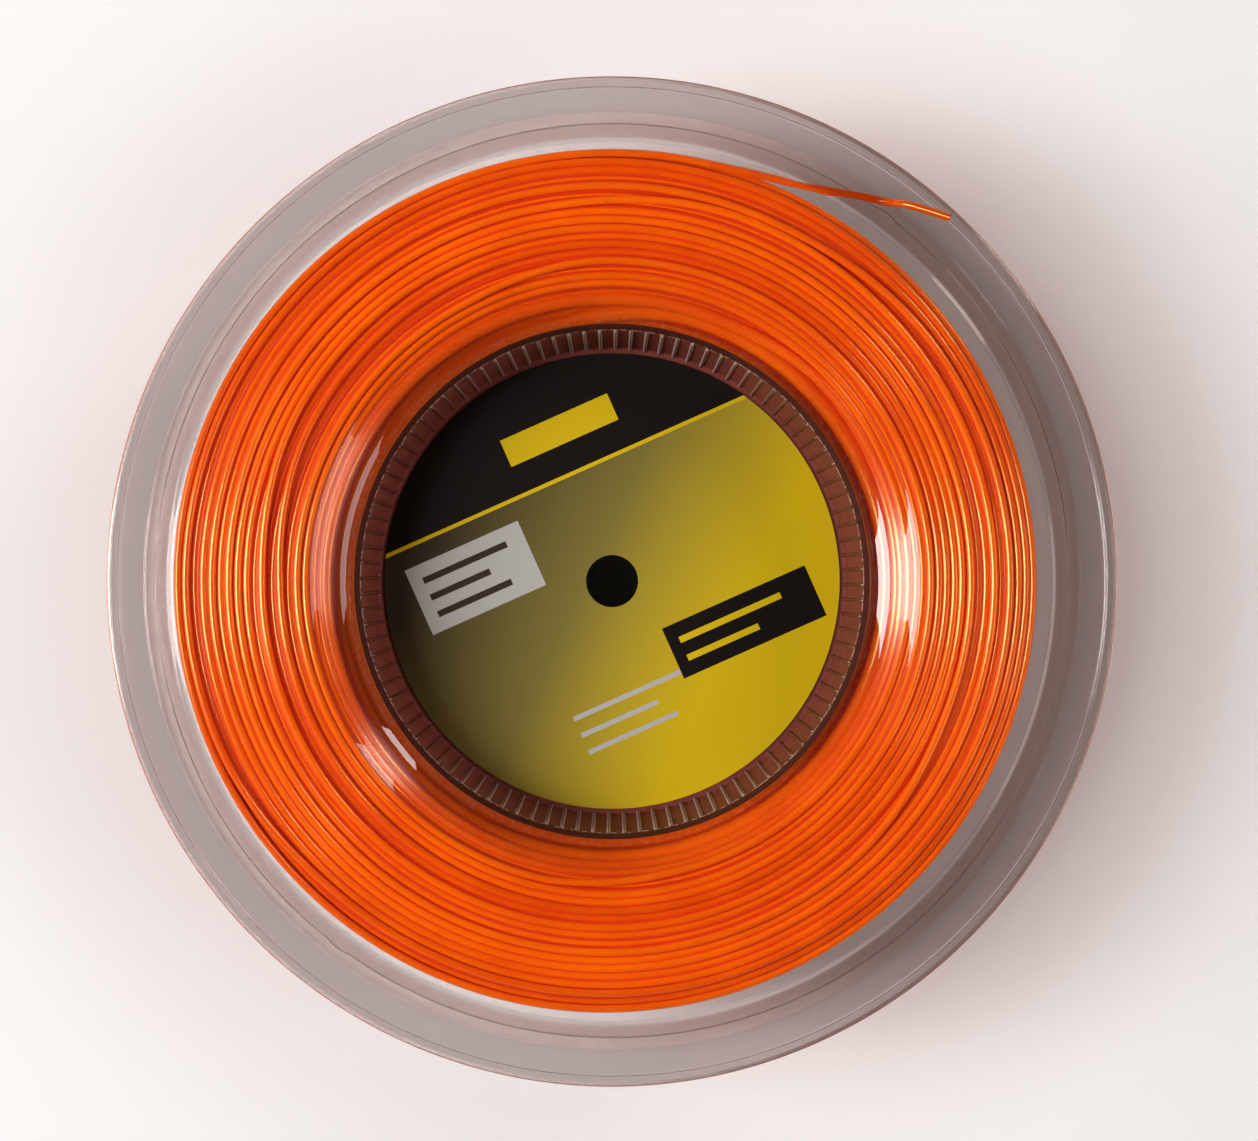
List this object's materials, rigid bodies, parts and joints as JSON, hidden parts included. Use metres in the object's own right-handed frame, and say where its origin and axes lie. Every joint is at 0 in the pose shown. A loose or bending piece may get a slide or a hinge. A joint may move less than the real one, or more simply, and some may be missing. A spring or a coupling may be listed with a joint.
{
  "type": "string reel",
  "caption": "Round clear plastic reel of racket string with a labelled hub recess and the string's loose end held in a rim hole.",
  "frame": {"origin": "on the reel's axis, at the back rim that it rests on", "axes": "+Z along the reel's axis towards the labelled front; +X to the right and +Y up as the picture shows the front"},
  "size_m": [0.15, 0.15, 0.0432],
  "materials": {
    "clear_plastic": "gloss",
    "label": "satin",
    "string": "gloss"
  },
  "bodies": {
    "root": {"front_half": "clear_plastic", "back_half": "clear_plastic", "front_label": "label", "back_label": "label", "wound_string": "string", "outer_string_layer": "string", "loose_string_end": "string"}
  },
  "joints": []
}
